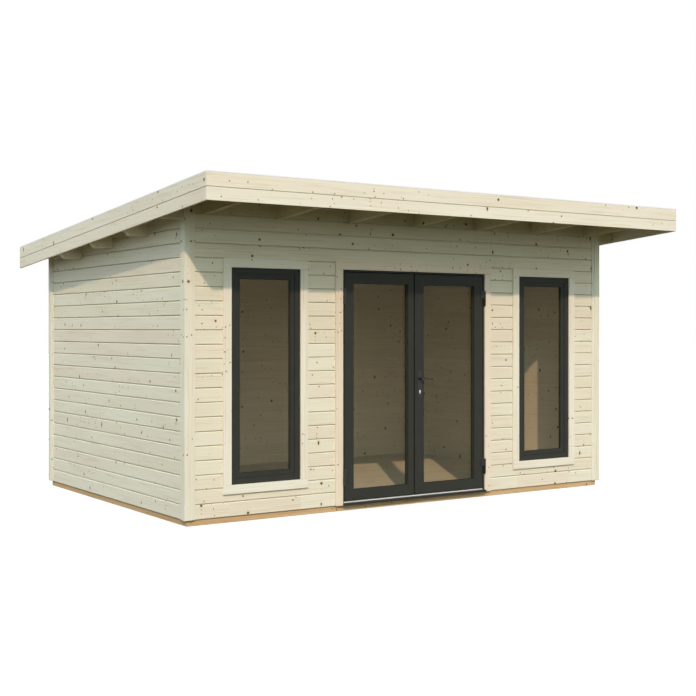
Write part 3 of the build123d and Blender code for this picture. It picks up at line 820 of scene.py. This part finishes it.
screw_heads("lock_plate_screws", "right_leaf", dark_coat, places, plate_screw)
painted_piece("door_lever", "lever_handle", "lever", dark_coat, lever_edge, lever_edge_steps)

# Lock cylinder: satin nickel, its round and slab ends standing a little out of both plates.
# A thin dark sheet in the outline of a stepped key slot lies on each end, as painted shade for the slot's
# hollow.
nickel_bright = (0.82, 0.81, 0.78)
nickel_dull = (0.68, 0.67, 0.64)
nickel_roughness = 0.3
nickel_lines = (700.0, 60.0, 60.0)
cylinder_edge = 0.001
cylinder_round = 0.0085
slot_dark = (0.010, 0.010, 0.010)
slot_roughness = 0.6
slot_gloss = 0.1
slot_proud = 0.0002
slot_outline = ((-0.0012, -0.0052), (0.0006, -0.0052), (0.0006, -0.0010), (0.0014, -0.0004),
                (0.0014, 0.0034), (-0.0004, 0.0052), (-0.0012, 0.0052), (-0.0004, 0.0010),
                (-0.0012, 0.0002))
nickel = drawn_metal("satin_nickel", nickel_bright, nickel_dull, nickel_roughness, nickel_lines)
painted_piece("lock_cylinder", "lock_cylinder_ends", "right_leaf", nickel, cylinder_edge)
# Painted shade: the key slots are flat dark sheets standing a hair proud of the ends, not hollows.
slot_shade = satin_paint("key_slot_shade", slot_dark, slot_dark, slot_roughness, slot_gloss)
low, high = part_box("lock_cylinder")
slots = bmesh.new()
for face, outward in ((low.y, -1), (high.y, 1)):
    rows = []
    for place in (face, face + outward * slot_proud):
        rows.append([slots.verts.new(((low.x + high.x) / 2 + x, place, high.z - cylinder_round + z))
                     for x, z in slot_outline])
    join_rows(slots, rows)
    for row in rows:
        slots.faces.new(row)
bmesh.ops.recalc_face_normals(slots, faces=slots.faces)
make_piece(slots, "painted_key_slot_shades", "right_leaf", slot_shade)

# Studio: a pale floor under an open sky, which is brightest towards the sun and bluer overhead.
# A sun lamp and the soft haze around it light the house. The floor throws little light back on it, and looks
# white to the camera.
camera_place = (-6.30, -9.513, 1.5315)
camera_level = math.radians(90)
camera_turn = math.radians(-33.92)
camera_lens = 61.51
camera_film = 36.0
camera_drop = -0.0279
camera_reach = 500.0
sun_way = Vector((0.45, 0.786, -0.607))
sun_colour = (1.0, 0.752, 0.58)
sun_strength = 1.95
sun_size = math.radians(1.0)
haze_colour = (0.80, 0.87, 1.0)
haze_strength = 0.41
haze_size = math.radians(30.0)
sunny_horizon = (1.12, 1.17, 1.00)
far_horizon = (0.72, 0.88, 0.94)
zenith_colour = (0.60, 0.90, 1.14)
back_haze = (1.25, 1.10, 0.90)
back_haze_power = 2.0
ground_half = 60.0
ground_bounce = (0.052, 0.046, 0.018, 1)
ground_tone = (0.35, 0.35, 0.35, 1)
ground_lift = 0.75
white = (1, 1, 1, 1)

scene = bpy.context.scene
scene.view_settings.view_transform = "Standard"
camera = bpy.data.objects.new("camera", bpy.data.cameras.new("camera"))
scene.collection.objects.link(camera)
camera.location = camera_place
camera.rotation_euler = (camera_level, 0, camera_turn)
camera.data.lens = camera_lens
camera.data.sensor_width = camera_film
camera.data.shift_y = camera_drop
camera.data.clip_end = camera_reach
scene.camera = camera

for name, strength, colour, size in (("sun", sun_strength, sun_colour, sun_size),
                                     ("haze", haze_strength, haze_colour, haze_size)):
    lamp = bpy.data.objects.new(name, bpy.data.lights.new(name, "SUN"))
    scene.collection.objects.link(lamp)
    lamp.rotation_euler = sun_way.to_track_quat("-Z", "Y").to_euler()
    lamp.data.energy = strength
    lamp.data.color = colour
    lamp.data.angle = size


def seen_directly(tree):
    """1 for what the camera sees, also in a mirror or through glass, and 0 for light on the object."""
    path = shader_node(tree, "LightPath")
    direct = number(tree, "MAXIMUM", path.outputs["Is Camera Ray"], path.outputs["Is Glossy Ray"])
    return number(tree, "MAXIMUM", direct, path.outputs["Is Transmission Ray"])


world = bpy.data.worlds.new("open_sky")
scene.world = world
world.use_nodes = True
sky = world.node_tree
sky.nodes.clear()
direction = shader_node(sky, "TexCoord").outputs["Generated"]
way = shader_node(sky, "SeparateXYZ", {0: direction}).outputs
behind = number(sky, "MULTIPLY_ADD", way["Y"], 0.5, 0.5)
horizon = tint(sky, behind, sunny_horizon, far_horizon)
sky_colour = tint(sky, number(sky, "MAXIMUM", way["Z"], 0.0), horizon, zenith_colour)
from_sun = shader_node(sky, "VectorMath", {0: direction, 1: sun_way.xy.normalized().to_3d()},
                       operation="DOT_PRODUCT").outputs["Value"]
from_sun = number(sky, "POWER", number(sky, "MAXIMUM", from_sun, 0.0), back_haze_power)
sky_colour = tint(sky, from_sun, sky_colour, back_haze)
sky_light = shader_node(sky, "Background", {"Color": sky_colour, "Strength": 1.0})
sky_white = shader_node(sky, "Background", {"Color": white, "Strength": 1.0})
sky_mix = shader_node(sky, "MixShader", {0: seen_directly(sky), 1: sky_light.outputs[0],
                                         2: sky_white.outputs[0]})
shader_node(sky, "OutputWorld", {"Surface": sky_mix.outputs[0]})

ground_shape = bmesh.new()
bmesh.ops.create_grid(ground_shape, x_segments=1, y_segments=1, size=ground_half)
ground_mesh = bpy.data.meshes.new("studio_floor")
ground_shape.to_mesh(ground_mesh)
ground_shape.free()
ground = bpy.data.objects.new("studio_floor", ground_mesh)
scene.collection.objects.link(ground)
ground_paint = bpy.data.materials.new("pale_floor")
ground_paint.use_nodes = True
tree = ground_paint.node_tree
tree.nodes.clear()
bounce = shader_node(tree, "BsdfDiffuse", {"Color": ground_bounce})
shown = shader_node(tree, "BsdfDiffuse", {"Color": ground_tone})
lift = shader_node(tree, "Emission", {"Color": white, "Strength": ground_lift})
lifted = shader_node(tree, "AddShader", {0: shown.outputs[0], 1: lift.outputs[0]})
ground_mix = shader_node(tree, "MixShader", {0: seen_directly(tree), 1: bounce.outputs[0],
                                             2: lifted.outputs[0]})
shader_node(tree, "OutputMaterial", {"Surface": ground_mix.outputs[0]})
ground_mesh.materials.append(ground_paint)
